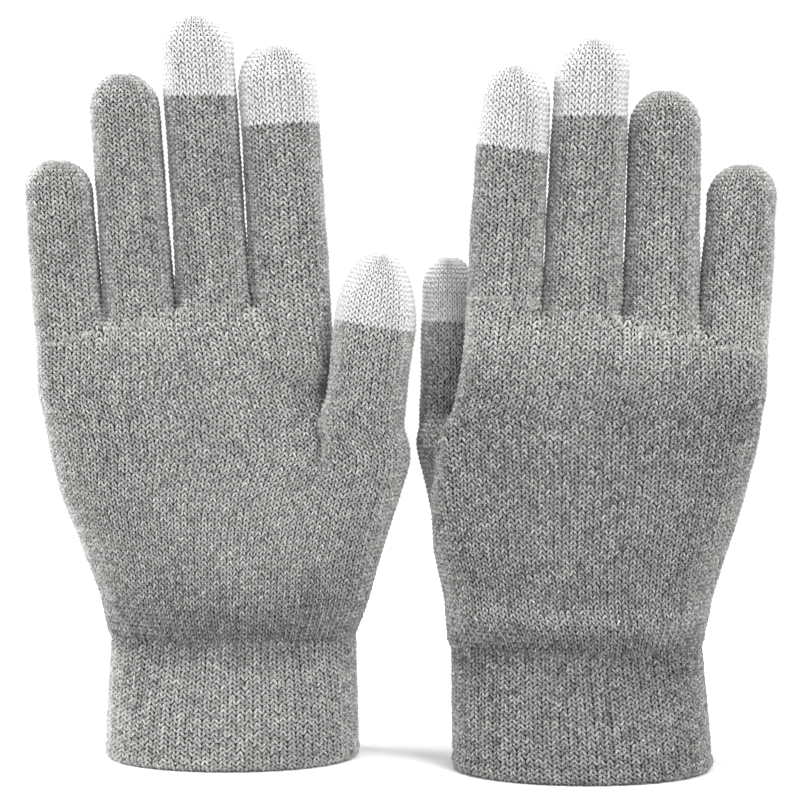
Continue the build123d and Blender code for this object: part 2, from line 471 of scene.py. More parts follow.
def inner_line(left: tuple[float, float], right: tuple[float, float], t: float) -> tuple[float, float]:
    """Finds a point of the inner line, which is straight in x and eases in y from each end to zero.

    Args:
        left: The line's end at -X, as (x, y).
        right: The line's end at +X.
        t: The share of the way from left to right.

    Returns:
        The point, as (x, y).
    """
    x = left[0] + (right[0] - left[0]) * t
    reach = 16 * MM
    y = left[1] * (1 - smooth((x - left[0]) / reach)) + right[1] * (1 - smooth((right[0] - x) / reach))
    return (x, float(y))


def palm_tube(spec: LoopSpec) -> list[tuple[np.ndarray, int]]:
    """Cuts the form level by level.

    Args:
        spec: The form and the levels.

    Returns:
        For each level a loop of points, and the number of the point where its front turns to its back.
    """
    loops = []
    for level in range(spec.courses + 1):
        share = level / spec.courses
        left, right = spec.left_end(share), spec.right_end(share)
        origins, directions, turn = ring_rays(left, right)
        points = []
        for i, (origin, direction) in enumerate(zip(origins, directions)):
            if origin is None:
                if i < FAN + RAYS:
                    t = (i - FAN) / (RAYS - 1)
                else:
                    t = 1 - (i - (FAN + RAYS + 2 * FAN - 1)) / (RAYS - 1)
                origin = inner_line(left, right, t)
            z = spec.bottom * (1 - share) + spec.top * share
            hit = spec.form.hit((origin[0], origin[1], z), (direction[0], direction[1], 0))
            if hit is None:
                hit = points[-1] if points else (origin[0], origin[1], z)
            points.append(tuple(hit))
        loops.append((np.array(points), turn))
    return loops


def resample(loop: np.ndarray, turn: int, front_at: np.ndarray, back_at: np.ndarray) -> np.ndarray:
    """Picks points of a loop.

    Args:
        loop: The loop's points.
        turn: The number of the point where its front turns to its back.
        front_at: Shares of the way along its front half.
        back_at: Shares of the way along its back half.

    Returns:
        The points at those shares.
    """
    closed = np.vstack([loop, loop[:1]])
    step = np.linalg.norm(np.diff(closed, axis=0), axis=1)
    along = np.concatenate([[0], np.cumsum(step)])
    half = along[turn]
    at = np.concatenate([front_at * half, half + back_at * (along[-1] - half)])
    return np.stack([np.interp(at, along, closed[:, k]) for k in range(3)], axis=1)


def half_of(loop: np.ndarray, turn: int, front: bool) -> tuple[np.ndarray, np.ndarray]:
    """Takes half of a loop.

    Args:
        loop: The loop's points.
        turn: The number of the point where its front turns to its back.
        front: Whether the front half is wanted.

    Returns:
        The half's points, and the share of its length passed at each.
    """
    closed = np.vstack([loop, loop[:1]])
    part = closed[: turn + 1] if front else closed[turn:]
    step = np.linalg.norm(np.diff(part, axis=0), axis=1)
    return part, np.concatenate([[0], np.cumsum(step)]) / max(step.sum(), 1e-9)


def shares_of_x(loop: np.ndarray, turn: int, xs: np.ndarray, front: bool) -> np.ndarray:
    """Finds where half a loop passes given places in x.

    Args:
        loop: The loop's points.
        turn: The number of the point where its front turns to its back.
        xs: The places, in the order in which the half passes them.
        front: Whether the front half is meant.

    Returns:
        Shares along the half.
    """
    part, along = half_of(loop, turn, front)
    x = part[:, 0]
    if front:
        x = np.maximum.accumulate(x) + np.arange(len(x)) * 1e-9
        return np.interp(xs, x, along)
    x = np.minimum.accumulate(x) - np.arange(len(x)) * 1e-9
    return np.interp(-np.asarray(xs), -x, along)


def shares_near(loop: np.ndarray, turn: int, points: np.ndarray, front: bool) -> np.ndarray:
    """Finds where half a loop is nearest to given points, and spreads them where they crowd.

    Args:
        loop: The loop's points.
        turn: The number of the point where its front turns to its back.
        points: The points to come near to, in order.
        front: Whether the front half is meant.

    Returns:
        Shares along the half.
    """
    part, along = half_of(loop, turn, front)
    dense = np.linspace(0, 1, 1200)
    line = np.stack([np.interp(dense, along, part[:, k]) for k in range(2)], axis=1)
    gap = np.linalg.norm(points[:, None, :2] - line[None], axis=2)
    share = np.maximum.accumulate(dense[gap.argmin(1)])
    count = len(share)
    ends = np.concatenate([share, [1.0]])
    ends[0] = 0.0
    width = np.maximum(np.diff(ends), 0.5 / count)
    for _ in range(4):
        width = np.convolve(np.pad(width, 1, mode="edge"), [0.25, 0.5, 0.25], mode="valid")
    width /= width.sum()
    return np.concatenate([[0], np.cumsum(width)[:-1]])


def outline(digit: Digit, bottom_z: float) -> tuple[np.ndarray, np.ndarray, np.ndarray]:
    """Draws a digit's side from a height up over its rounded tip.

    Args:
        digit: The finger or thumb.
        bottom_z: The height where the line starts.

    Returns:
        Heights and radii along the line, and the length passed at each.
    """
    root, tip, radius = digit.root[2] * MM, digit.tip[2] * MM, digit.tip_radius * MM
    high = radius * digit.dome
    base = tip - high
    turn = np.radians(np.linspace(0, TOP_TURN, 240))
    heights = np.concatenate([np.linspace(min(bottom_z, base), base, 240)[:-1], base + high * np.sin(turn)])
    share = (heights - root) / (base - root)
    cone = (digit.root_radius + (digit.tip_radius - digit.root_radius) * share) * MM
    ball = radius * np.sqrt(np.clip(1 - ((heights - base) / high) ** 2, 0, 1))
    widths = np.where(heights < base, cone, ball)
    heights = heights - 0.9 * MM * np.exp(-((widths / (1.7 * MM)) ** 2))  # drawn closed at its point
    kept = heights >= bottom_z - 1e-9
    heights, widths = heights[kept], widths[kept]
    step = np.hypot(np.diff(heights), np.diff(widths))
    return heights, widths, np.concatenate([[0], np.cumsum(step)])


def digit_tube(
    digit: Digit, bottom_z: float, course: float, form: Form | None = None, web_z: float = 0.0
) -> Tube:
    """Lays the grid of a digit: rings round its axis and over its tip. Near the web they keep to the form.

    Args:
        digit: The finger or thumb.
        bottom_z: The height where the grid starts.
        course: The height of a course.
        form: The hand's body, where the grid has to meet it.
        web_z: Height of the web beside the finger.

    Returns:
        The grid.
    """
    root, tip = np.array(digit.root) * MM, np.array(digit.tip) * MM
    axis = (tip - root) / (tip[2] - root[2])
    heights, widths, along = outline(digit, bottom_z)
    courses = round(along[-1] / course)
    angle = math.pi + np.arange(digit.wales) / digit.wales * 2 * math.pi
    around = np.stack([np.cos(angle), np.sin(angle), np.zeros(len(angle))], axis=1)
    rings = []
    for s in np.linspace(0, along[-1], courses + 1):
        z = float(np.interp(s, along, heights))
        radius = np.full(len(angle), np.interp(s, along, widths))
        centre = root + axis * (z - root[2])
        if form is not None and z < web_z + 14 * MM:
            near = []
            for direction, own in zip(around, radius):
                hit = form.hit(centre, direction)
                reach = own if hit is None else np.linalg.norm(np.array(hit) - centre)
                near.append(min(max(reach, own * 0.9), own * (1.08 + 0.4 * direction[1] ** 2)))
            ease = float(smooth((z - web_z) / (14 * MM)))
            radius = np.array(near) * (1 - ease) + radius * ease
        ring = centre + around * radius[:, None]
        if digit.slant:
            bent = float(smooth((z / MM - digit.conductive + 16) / 12))
            ring[:, 2] -= digit.slant * bent * (ring[:, 0] - centre[0])
        rings.append(ring)
    return Tube(rings)


def wobble(nodes: np.ndarray, amount: float, seed: int) -> np.ndarray:
    """Makes the soft unevenness of used fabric from a few slow waves through space.

    Args:
        nodes: The fabric's points.
        amount: The usual height of the waves.
        seed: Picks the waves.

    Returns:
        How far each point stands out.
    """
    rng = np.random.default_rng(seed)
    out = np.zeros(nodes.shape[:-1])
    for _ in range(7):
        wave = rng.normal(size=3) * 2 * math.pi / (rng.uniform(14, 40) * MM)
        out += np.sin(nodes @ wave + rng.uniform(0, 6.3))
    return out / 7 * amount * 2


class YarnLeg:
    """One leg of a stitch: a short spindle of yarn, dipping under its neighbours at both ends."""

    def __init__(self) -> None:
        """Models the spindle once, as a ball of few faces."""
        bpy.ops.object.select_all(action="DESELECT")
        bpy.ops.mesh.primitive_uv_sphere_add(segments=4, ring_count=4, radius=1.0)
        obj = bpy.context.active_object
        bpy.ops.object.mode_set(mode="EDIT")
        bpy.ops.mesh.select_all(action="SELECT")
        bpy.ops.mesh.quads_convert_to_tris()
        bpy.ops.object.mode_set(mode="OBJECT")
        self.verts = np.array([v.co for v in obj.data.vertices])
        self.faces = np.array([p.vertices for p in obj.data.polygons])
        bpy.data.objects.remove(obj)

    def shaped(self, gauge: "Gauge") -> np.ndarray:
        """Shapes the leg, leaning so that both legs meet at the stitch's top.

        Args:
            gauge: The fabric's stitches.

        Returns:
            Its points in a stitch's own units: across (wales), along (courses) and height (metres).
        """
        x, y, z = self.verts[:, 0], self.verts[:, 1], self.verts[:, 2]
        along = z * gauge.length
        swell = np.where(np.abs(z) > 0.9, 1.0, 1.0 / np.sqrt(np.maximum(1 - z * z, 0.25)) ** 0.6)
        across = x * gauge.width * swell + gauge.out - along * gauge.lean
        height = y * gauge.thick * swell - gauge.dip * z * z
        return np.stack([across, along, height], axis=1)


@dataclass(frozen=True)
class Gauge:
    """Shape of the stitches of one fabric."""

    width: float = 0.185  # half width of a leg, in wales
    length: float = 0.74  # half length of a leg, in courses
    lean: float = 0.285  # wales that it moves inwards over a course
    thick: float = 0.60 * MM  # half thickness of a leg
    dip: float = 0.42 * MM  # how far its ends go under the next stitches
    out: float = 0.24  # wales between the stitch's middle and the leg's
    fall: float = 0.0  # height of the stitches over their grid


class MeshParts:
    """Gathers vertices, faces and attributes of one piece."""

    def __init__(self) -> None:
        """Starts with nothing."""
        self.verts, self.faces, self.shade, self.yarn, self.mat = [], [], [], [], []
        self.count = 0

    def add(
        self, verts: np.ndarray, faces: np.ndarray, shade: np.ndarray, yarn: np.ndarray, material: int
    ) -> None:
        """Adds a part.

        Args:
            verts: Its points.
            faces: Its triangles, numbered from its own first point.
            shade: How light each point is.
            yarn: Each point's place on the yarn: along it, round it, and which leg.
            material: The number of its material.
        """
        self.verts.append(verts)
        self.faces.append(faces + self.count)
        self.shade.append(shade)
        self.yarn.append(yarn)
        self.mat.append(np.full(len(faces), material))
        self.count += len(verts)

    def build(self, name: str, materials: Sequence[bpy.types.Material]) -> bpy.types.Object:
        """Makes the mesh.

        Args:
            name: The piece's name.
            materials: Its materials, in the order of their numbers.

        Returns:
            The piece.
        """
        verts = np.concatenate(self.verts)
        faces = np.concatenate(self.faces)
        mesh = bpy.data.meshes.new(name)
        mesh.vertices.add(len(verts))
        mesh.vertices.foreach_set("co", verts.astype(np.float32).ravel())
        mesh.loops.add(len(faces) * 3)
        mesh.loops.foreach_set("vertex_index", faces.astype(np.int32).ravel())
        mesh.polygons.add(len(faces))
        mesh.polygons.foreach_set("loop_start", np.arange(len(faces), dtype=np.int32) * 3)
        mesh.polygons.foreach_set("material_index", np.concatenate(self.mat).astype(np.int32))
        for material in materials:
            mesh.materials.append(material)
        mesh.update(calc_edges=True)
        mesh.validate()
        mesh.shade_smooth()
        shade = mesh.attributes.new("shade", "FLOAT", "POINT")
        shade.data.foreach_set("value", np.concatenate(self.shade).astype(np.float32))
        yarn = mesh.attributes.new("yarn", "FLOAT_VECTOR", "POINT")
        yarn.data.foreach_set("vector", np.concatenate(self.yarn).astype(np.float32).ravel())
        obj = bpy.data.objects.new(name, mesh)
        bpy.context.scene.collection.objects.link(obj)
        return obj


class Knitter:
    """Stamps stitches and lining on tubes."""

    def __init__(self, leg: YarnLeg) -> None:
        """Takes up the yarn.

        Args:
            leg: The leg that every stitch is made of.
        """
        self.leg = leg
        self.rng = np.random.default_rng(SEED)

    def stitches(
        self, parts: MeshParts, tube: Tube, cells: np.ndarray, gauge: Gauge, painted_tone: np.ndarray | float = 0.0
    ) -> None:
        """Adds both legs of each stitch.

        Args:
            parts: The piece that gets them.
            tube: The grid they stand on.
            cells: The course and the wale of each stitch.
            gauge: Their shape.
            painted_tone: How much light or shade is painted into them.
        """
        if not len(cells):
            return
        v, u = cells[:, 0].astype(float), cells[:, 1].astype(float)
        n = len(cells)
        rng = self.rng
        stitch_shade = rng.normal(size=n) * 0.4 + painted_tone
        for mirror in (-1, 1):
            base = self.leg.shaped(gauge)
            across = base[None, :, 0] * (1 + rng.normal(size=(n, 1)) * 0.07) + rng.normal(size=(n, 1)) * 0.025
            along = base[None, :, 1] + rng.normal(size=(n, 1)) * 0.05
            height = base[None, :, 2] * (1 + rng.normal(size=(n, 1)) * 0.08)
            height = height + rng.normal(size=(n, 1)) * 0.04 * MM
            place, normal = tube.at(u[:, None] + 0.5 + mirror * across, v[:, None] + 0.5 + along)
            verts = place + normal * (height + gauge.fall)[..., None]
            verts = verts.reshape(-1, 3)
            k = len(base)
            faces = (self.leg.faces[None] + (np.arange(n) * k)[:, None, None]).reshape(-1, 3)
            if mirror < 0:
                faces = faces[:, ::-1]
            shade = np.repeat(stitch_shade + rng.normal(size=n) * 0.9, k)
            yarn = np.empty((n, k, 3))
            yarn[..., 0] = self.leg.verts[None, :, 2]
            yarn[..., 1] = np.arctan2(self.leg.verts[None, :, 1], self.leg.verts[None, :, 0])
            yarn[..., 2] = rng.uniform(0, 50, size=(n, 1))
            parts.add(verts, faces, shade, yarn.reshape(-1, 3), 0)

    @staticmethod
    def lining(parts: MeshParts, tube: Tube, keep: np.ndarray) -> None:
        """Adds the closed double wall behind the knit; it is coloured dark, as painted shade in the gaps
        between stitches.

        Args:
            parts: The piece that gets it.
            tube: The grid it follows.
            keep: Which cells it covers, as [course, wale].
        """
        nodes, normals = tube.nodes, tube.normals
        verts = np.concatenate([(nodes - normals * d).reshape(-1, 3) for d in LINING])
        total, wales = nodes.shape[0] * nodes.shape[1], tube.wales
        v, u = np.nonzero(keep)
        after = (u + 1) % wales
        a, b = v * wales + u, v * wales + after
        c, d = a + wales, b + wales
        quads = [np.stack([a, b, d, c], 1), np.stack([c, d, b, a], 1) + total]
        padded = np.pad(keep, ((1, 1), (0, 0)))
        for edge, (p, q) in (
            (~padded[v, u], (a, b)),
            (~padded[v + 2, u], (d, c)),
            (~keep[v, u - 1], (c, a)),
            (~keep[v, after], (b, d)),
        ):
            p, q = p[edge], q[edge]
            quads.append(np.stack([q, p, p + total, q + total], 1))
        quads = np.concatenate(quads)
        used, quads = np.unique(quads, return_inverse=True)
        quads = quads.reshape(-1, 4)
        faces = np.concatenate([quads[:, [0, 1, 2]], quads[:, [0, 2, 3]]])
        # Shade -1.5 and the dark backing material are painted shade seen through the gaps.
        parts.add(verts[used], faces, np.full(len(used), -1.5), np.zeros((len(used), 3)), 1)


class Socket:
    """A shader value that can be added, subtracted and multiplied like a number."""

    def __init__(self, tree: bpy.types.NodeTree, out: bpy.types.NodeSocket) -> None:
        """Wraps a node's output.

        Args:
            tree: The material's nodes.
            out: The output.
        """
        self.tree, self.out = tree, out

    def math(self, operation: str, other: "Socket | float", clamp: bool = False) -> "Socket":
        """Adds a Math node.

        Args:
            operation: What it does.
            other: Its second value.
            clamp: Whether its result is kept in 0..1.

        Returns:
            Its result.
        """
        node = self.tree.nodes.new("ShaderNodeMath")
        node.operation = operation
        node.use_clamp = clamp
        for i, value in enumerate((self, other)):
            if isinstance(value, Socket):
                self.tree.links.new(value.out, node.inputs[i])
            else:
                node.inputs[i].default_value = value
        return Socket(self.tree, node.outputs[0])

    def __add__(self, other: "Socket | float") -> "Socket":
        """Adds."""
        return self.math("ADD", other)

    def __sub__(self, other: "Socket | float") -> "Socket":
        """Subtracts."""
        return self.math("SUBTRACT", other)

    def __mul__(self, other: "Socket | float") -> "Socket":
        """Multiplies."""
        return self.math("MULTIPLY", other)

    def __rsub__(self, other: float) -> "Socket":
        """Subtracts the value from a number."""
        return self * -1.0 + other

    __radd__ = __add__
    __rmul__ = __mul__

    def clamp(self) -> "Socket":
        """Keeps the value in 0..1."""
        return self.math("ADD", 0.0, clamp=True)


class Finish:
    """A material and one method that adds its nodes."""

    def __init__(self, name: str) -> None:
        """Makes the material.

        Args:
            name: Its name.
        """
        self.material = bpy.data.materials.new(name)
        self.material.use_nodes = True
        self.tree = self.material.node_tree
        self.shader = self.tree.nodes["Principled BSDF"]

    def node(
        self, kind: str, settings: Mapping | None = None, **inputs: "Socket | float | tuple"
    ) -> dict[str, Socket]:
        """Adds a node.

        Args:
            kind: Its type.
            settings: Its own settings, set first.
            **inputs: Values or links of its sockets, with _ for a space in a name.

        Returns:
            Its outputs by name.
        """
        made = self.tree.nodes.new(kind)
        for key, value in (settings or {}).items():
            setattr(made, key, value)
        for key, value in inputs.items():
            target = made.inputs[key.replace("_", " ")]
            if isinstance(value, Socket):
                self.tree.links.new(value.out, target)
            else:
                target.default_value = value
        return {o.name: Socket(self.tree, o) for o in made.outputs}

    def feed(self, name: str, value: "Socket | float | tuple") -> None:
        """Sets or links one of the shader's sockets.

        Args:
            name: The socket.
            value: Its value or link.
        """
        if isinstance(value, Socket):
            self.tree.links.new(value.out, self.shader.inputs[name])
        else:
            self.shader.inputs[name].default_value = value


@dataclass(frozen=True)
class YarnLook:
    """Colours of a yarn: the two fibres spun together, and how much they vary."""

    dark: tuple[float, float, float]
    light: tuple[float, float, float]
    balance: float
    spread: float
    roughness: float = 0.9
    sheen: float = 0.25
    bump: float = 0.5

    def material(self, name: str) -> bpy.types.Material:
        """Makes the yarn's material.

        Args:
            name: Its name.

        Returns:
            The material.
        """
        finish = Finish(name)
        place = finish.node("ShaderNodeTexCoord")["Object"]
        yarn = finish.node("ShaderNodeAttribute", {"attribute_name": "yarn"})["Vector"]
        shade = finish.node("ShaderNodeAttribute", {"attribute_name": "shade"})["Fac"]
        stretch = finish.node("ShaderNodeMapping", Vector=yarn, Scale=(2.2, 1.1, 1.0))["Vector"]

        def noise(vector: Socket, scale: float, detail: float, roughness: float) -> Socket:
            """Adds a noise."""
            inputs = {"Vector": vector, "Scale": scale, "Detail": detail, "Roughness": roughness}
            return finish.node("ShaderNodeTexNoise", **inputs)["Fac"]

        fibre, blotch = noise(stretch, 2.2, 3.0, 0.65), noise(place, 1500.0, 3.0, 0.65)
        drift, fine = noise(place, 45.0, 2.0, 0.5), noise(place, 2600.0, 3.0, 0.7)
        mix = (fibre - 0.5) * (1.5 * self.spread) + (blotch - 0.5) * (1.3 * self.spread)
        mix = mix + (drift - 0.5) * (0.18 * self.spread) + shade * (0.06 * self.spread) + self.balance
        finish.node("ShaderNodeMix", {"data_type": "RGBA"})
        node = finish.tree.nodes[-1]
        finish.tree.links.new(mix.clamp().out, node.inputs[0])
        node.inputs[6].default_value = (*self.dark, 1)
        node.inputs[7].default_value = (*self.light, 1)
        finish.feed("Base Color", Socket(finish.tree, node.outputs[2]))
        height = fine * 0.6 + fibre * 0.4
        bump = finish.node("ShaderNodeBump", Strength=self.bump, Distance=0.25 * MM, Height=height)
        finish.feed("Normal", bump["Normal"])
        finish.feed("Roughness", self.roughness)
        finish.feed("Sheen Weight", self.sheen)
        finish.feed("Sheen Roughness", 0.5)
        finish.feed("Specular IOR Level", 0.25)
        return finish.material


GREY_YARN = YarnLook((0.055, 0.055, 0.053), (0.73, 0.725, 0.71), 0.455, 1.35, sheen=0.35)
# The grey backing is much darker than its yarn: painted shade in the gaps between stitches.
GREY_GAP_SHADE = YarnLook((0.03, 0.03, 0.029), (0.10, 0.10, 0.098), 0.4, 0.5)
ELASTIC = YarnLook((0.45, 0.45, 0.44), (0.68, 0.68, 0.66), 0.5, 0.4, roughness=0.7)
PALE_YARN = YarnLook((0.50, 0.50, 0.50), (0.84, 0.84, 0.84), 0.62, 0.6, sheen=0.05)
# The pale backing is darker than its yarn: painted shade in the gaps between stitches.
PALE_GAP_SHADE = YarnLook((0.42, 0.42, 0.42), (0.55, 0.55, 0.55), 0.5, 0.5)


class Glove:
    """Knits every piece of one glove and puts the pieces without a fold on their bodies."""

    def __init__(
        self, plan: Plan, knitter: Knitter, looks: Mapping[Yarn, tuple[bpy.types.Material, ...]]
    ) -> None:
        """Gets ready to knit.

        Args:
            plan: The glove's measures.
            knitter: What knits it.
            looks: The materials of each yarn and its backing.
        """
        self.plan, self.knitter, self.looks = plan, knitter, looks
        self.made: list[bpy.types.Object] = []

    def web(self, x: float) -> float:
        """Finds how high the web line between the fingers runs.

        Args:
            x: Where, in metres.

        Returns:
            Its height there, in metres.
        """
        (x1, z1), (x2, z2) = self.plan.web_low, self.plan.web_high
        slope = (z2 - z1) / (x2 - x1)
        return min((z1 * MM) + slope * (x - x1 * MM), self.plan.web_cap * MM)

    def finish_piece(
        self,
        parts: MeshParts,
        name: str,
        yarn: Yarn,
        bodies: Sequence[str],
        fold: tuple | None = None,
        replaces: Sequence[str] = (),
    ) -> bpy.types.Object:
        """Builds a piece, moves it to its place and gives it to its first body; a piece with a fold is given
        to no body.

        Args:
            parts: What it is made of.
            name: Its name without the side.
            yarn: What it is knitted from.
            bodies: The bodies it belongs with, without the side; only the first is used, and only without a
                fold.
            fold: Where its bend between two bodies would start and end; only whether it is given is read.
            replaces: The nodes it stands in for, without the side.

        Returns:
            The piece.
        """
        obj = parts.build(f"{self.plan.side}_{name}", self.looks[yarn])
        move = np.array([SHIFT_X, self.plan.y * MM, 0])
        co = np.empty(len(obj.data.vertices) * 3, np.float32)
        obj.data.vertices.foreach_get("co", co)
        obj.data.vertices.foreach_set("co", (co.reshape(-1, 3) + move).astype(np.float32).ravel())
        obj.data.update()
        side = self.plan.side
        if fold is None:
            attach(obj, f"{side}_{bodies[0]}")
        else:
            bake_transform(obj)
        if replaces:
            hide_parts(*[f"{side}_{n}" for n in replaces])
        self.made.append(obj)
        return obj

    def section_x(self, z: float, column: int) -> float:
        """Looks up a column of the hand's sections at a height."""
        rows = np.array(self.plan.sections)
        return float(np.interp(z / MM, rows[:, 0], rows[:, column])) * MM

    def hand_end(self, z: float, right: bool) -> tuple[float, float]:
        """Finds an end of the hand's inner line.

        Args:
            z: The height.
            right: Whether the end at +X is wanted.

        Returns:
            The end, as (x, y).
        """
        x = self.section_x(z, 2 if right else 1)
        inset = 11.0 * MM
        return (x - inset if right else x + inset, 0.0)

    def thumb_end(self, z: float) -> tuple[float, float]:
        """Finds the end of the inner line that runs into the heel of the thumb.

        Args:
            z: The height.

        Returns:
            The end, as (x, y).
        """
        low, high = np.array(self.plan.heel.root) * MM, np.array(self.plan.heel.tip) * MM
        wrist = self.hand_end(WRIST_Z, self.plan.palm < 0)
        if z > low[2]:
            share = (z - low[2]) / (high[2] - low[2])
            x, y, _ = low + (high - low) * share
            return (float(x), float(y))
        share = float(smooth((z - WRIST_Z) / (low[2] - WRIST_Z)))
        return (wrist[0] + (low[0] - wrist[0]) * share, low[1] * share)

    def lower_hand(self, form: Form) -> tuple[list[tuple[np.ndarray, int]], int]:
        """Cuts the hand from the wrist to where the thumb parts from it.

        Args:
            form: The body with its thumb.

        Returns:
            The loops, and the number of courses.
        """
        thumb_right = self.plan.palm < 0
        bottom, top = WRIST_Z - 3.0 * MM, self.plan.junction_z * MM

        def left(share: float) -> tuple[float, float]:
            """Finds the end at -X."""
            z = bottom + (top - bottom) * share
            return self.hand_end(z, False) if thumb_right else self.thumb_end(z)

        def right(share: float) -> tuple[float, float]:
            """Finds the end at +X."""
            z = bottom + (top - bottom) * share
            return self.thumb_end(z) if thumb_right else self.hand_end(z, True)

        courses = round((top - bottom) / COURSE)
        return palm_tube(LoopSpec(form, left, right, bottom, top, courses)), courses

    def upper_hand(self, form: Form) -> list[tuple[np.ndarray, int]]:
        """Cuts the hand from the thumb's junction up past the webs; cells above a web are left out later.

        Args:
            form: The body without its thumb.

        Returns:
            The loops.
        """
        bottom = self.plan.junction_z * MM
        courses = math.ceil((self.plan.web_cap * MM - bottom) / COURSE) + 1
        top = bottom + courses * COURSE

        def left(share: float) -> tuple[float, float]:
            """Finds the end at -X."""
            return self.hand_end(bottom + (top - bottom) * share, False)

        def right(share: float) -> tuple[float, float]:
            """Finds the end at +X."""
            return self.hand_end(bottom + (top - bottom) * share, True)

        return palm_tube(LoopSpec(form, left, right, bottom, top, courses))

    def finger_columns(self, loop: np.ndarray, turn: int) -> list[np.ndarray]:
        """Finds where the fingers' wales stand; those between two fingers end at the web.

        Args:
            loop: The points of a loop of the hand.
            turn: The number of the point where its front turns to its back.

        Returns:
            Shares along its front half and along its back half.
        """
        fingers = sorted(self.plan.digits[:4], key=lambda d: d.root[0])
        shares = []
        for facing in (True, False):
            xs = []
            for place, digit in enumerate(fingers):
                half = digit.wales // 2
                spare = half - digit.joined
                skipped = (0, spare / 2, spare / 2, spare)[place]
                column = np.arange(digit.joined + 1) + skipped
                xs.append(digit.root[0] - digit.root_radius * np.cos(math.pi * column / half))
            for one, other in zip(xs, xs[1:]):
                one[-1] = other[0] = (one[-1] + other[0]) / 2
            xs = [row[:-1] if facing else row[1:] for row in xs]
            line = np.concatenate(xs) * MM
            share = shares_of_x(loop, turn, line if facing else line[::-1], facing)
            share[0] = 0.0
            width = np.maximum(np.diff(np.concatenate([share, [1.0]])), 0.5 / len(share))
            shares.append(np.concatenate([[0.0], np.cumsum(width / width.sum())[:-1]]))
        return shares

    def knit_hand(self, whole_form: Form, hand_form: Form) -> tuple[Tube, Tube]:
        """Lays the two grids of the hand, whose wales run on into fingers and thumb.

        Args:
            whole_form: The body with its thumb.
            hand_form: The body without it.

        Returns:
            The grid below the thumb's junction and the one above it.
        """
        plan = self.plan
        thumb = plan.digits[4]
        half = sum(d.joined for d in plan.digits[:4])
        even = np.arange(half) / half
        rows = []
        for loop, turn in self.upper_hand(hand_form):
            z = loop[0, 2]
            shares = []
            for side, target in zip((True, False), self.finger_columns(loop, turn)):
                part, along = half_of(loop, turn, side)
                xs = np.interp(even, along, part[:, 0])
                below = np.array([self.web(x) for x in xs]) - z
                w = smooth(1 - (below - 1 * MM) / (22 * MM))
                shares.append(even * (1 - w) + target * w)
            rows.append(resample(loop, turn, *shares))
        upper = Tube(rows)
        lower_loops, courses = self.lower_hand(whole_form)
        own, joined = thumb.wales // 2, thumb.joined
        total = half + joined
        even = np.arange(total) / total
        ring = digit_tube(thumb, plan.junction_z * MM, COURSE).nodes[0]
        hand_row = upper.nodes[0]
        if plan.palm < 0:
            front_points = np.concatenate([hand_row[:half], ring[own - joined : own]])
            back_points = np.concatenate([ring[own : own + joined], hand_row[half:]])
        else:
            front_points = np.concatenate([ring[:joined], hand_row[:half]])
            back_points = np.concatenate([hand_row[half:], ring[2 * own - joined :]])
        loop, turn = lower_loops[-1]
        front = shares_near(loop, turn, front_points, True)
        back = shares_near(loop, turn, back_points, False)
        rows = []
        for level, (loop, turn) in enumerate(lower_loops):
            w = float(smooth((level / courses - 0.35) / 0.65))
            rows.append(resample(loop, turn, even * (1 - w) + front * w, even * (1 - w) + back * w))
        rows = np.array(rows)
        gap = np.concatenate([front_points, back_points]) - rows[-1]
        near = smooth((4.0 * MM - np.linalg.norm(gap, axis=1)) / (1.5 * MM))
        ease = smooth((np.arange(courses + 1) / courses - 0.7) / 0.3)
        rows += ease[:, None, None] * near[None, :, None] * gap[None]
        lower = Tube(rows)
        return self.wrist(lower), upper

    def wrist(self, lower: Tube) -> Tube:
        """Folds the hand's knit in at the wrist and lets it swell above the fold.

        Args:
            lower: The hand's lower grid.

        Returns:
            The grid with its fold.
        """
        rise = (lower.nodes[..., 2] - WRIST_Z) / MM
        facing = 0.06 + 0.94 * np.abs(lower.normals[..., 1]) ** 1.5
        fold, swell, swell_at = self.plan.wrist_fold
        push = -fold * MM * np.exp(-((rise / 6.5) ** 2)) * facing
        push += swell * MM * np.exp(-(((rise - swell_at) / (0.55 * swell_at)) ** 2)) * facing
        push -= 1.3 * MM * smooth((0.9 - rise) / 2.0)
        return Tube(lower.nodes + lower.normals * push[..., None])

    def soften(self, tube: Tube) -> Tube:
        """Makes the fabric uneven, dented below the webs and raised where the thumb pulls it.

        Args:
            tube: The even grid.

        Returns:
            The worn grid.
        """
        push = wobble(tube.nodes, 0.22 * MM, WORN_SEEDS[self.plan.side])
        fingers = sorted(self.plan.digits[:4], key=lambda d: d.root[0])
        for one, other in zip(fingers, fingers[1:]):
            x = (one.root[0] + one.root_radius + other.root[0] - other.root_radius) / 2 * MM
            away = np.hypot(tube.nodes[..., 0] - x, (tube.nodes[..., 2] - self.web(x) + 1.0 * MM) * 0.7)
            below = smooth((self.web(x) + 0.5 * MM - tube.nodes[..., 2]) / (1.5 * MM))
            push -= 1.1 * MM * below * np.exp(-((away / (2.6 * MM)) ** 2))
        if self.plan.palm < 0:
            start, end = np.array([-21.5, 101.0]) * MM, np.array([-30.0, 87.0]) * MM
            along = end - start
            flat = tube.nodes[..., [0, 2]]
            share = np.clip((flat - start) @ along / (along @ along), 0, 1)
            away = np.linalg.norm(flat - start - share[..., None] * along, axis=-1)
            front = smooth(-tube.nodes[..., 1] / (6 * MM))
            push += 1.0 * MM * (1 - share) * front * np.exp(-((away / (2.4 * MM)) ** 2))
        return Tube(tube.nodes + tube.normals * push[..., None])

